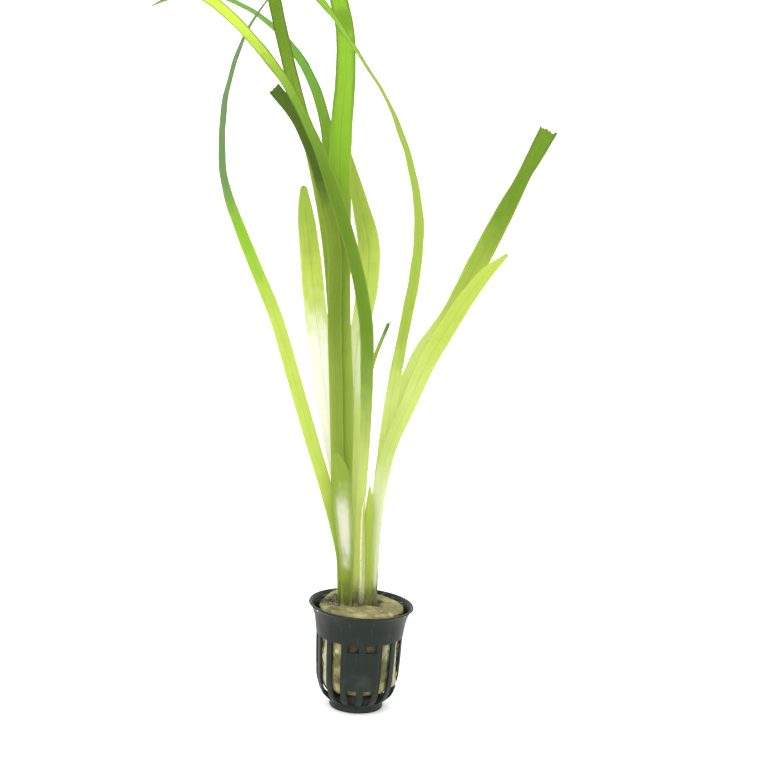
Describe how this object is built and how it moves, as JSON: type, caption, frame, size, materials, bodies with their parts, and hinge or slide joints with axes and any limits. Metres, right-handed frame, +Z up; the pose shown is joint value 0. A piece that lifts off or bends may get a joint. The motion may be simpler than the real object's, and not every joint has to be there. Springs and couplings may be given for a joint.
{
  "type": "potted vallisneria",
  "caption": "Tufts of strap-leaved vallisneria growing from a rock wool plug in a small black plastic net pot.",
  "frame": {"origin": "middle of the underside of the pot's foot, on the surface that the pot stands on", "axes": "+Z up along the pot's axis, -Y towards the side with the blank plate, +X to the viewer's right"},
  "size_m": [0.2196, 0.0897, 0.4002],
  "materials": {
    "pot_plastic": "moulded, slightly glossy, greenish black",
    "rock_wool": "damp tan mineral fibre",
    "crown_tissue": "pale firm rootstock",
    "leaf_bright_green": "thin, translucent, fine lengthwise veins",
    "leaf_mid_green": "thin, translucent, fine lengthwise veins",
    "leaf_dark_green": "thin, translucent, fine lengthwise veins",
    "leaf_soft_green": "thin, translucent, fine lengthwise veins",
    "leaf_pale_green": "thin, translucent, fine lengthwise veins",
    "sheath_cream": "papery pale leaf sheath",
    "dried_leaf": "dry brown shrivelled strand"
  },
  "bodies": {
    "root": {"net_pot": "pot_plastic", "rock_wool_plug": "rock_wool", "left_crown": "crown_tissue", "right_crown": "crown_tissue", "short_front_leaf": "leaf_soft_green", "front_arching_leaf": "leaf_bright_green", "far_left_leaf": "leaf_bright_green", "cut_dark_leaf": "leaf_dark_green", "broad_upright_leaf": "leaf_bright_green", "upright_leaf": "leaf_mid_green", "back_arching_leaf": "leaf_mid_green", "pale_broad_leaf": "leaf_pale_green", "short_blunt_leaf": "leaf_soft_green", "broken_leaf_stalk": "leaf_soft_green", "looping_leaf": "leaf_soft_green", "cut_right_leaf": "leaf_mid_green", "pointed_right_leaf": "leaf_pale_green", "olive_leaf_tip": "leaf_dark_green", "pale_middle_sheath": "sheath_cream", "yellow_side_sheath": "sheath_cream", "dried_strand": "dried_leaf"}
  },
  "joints": []
}
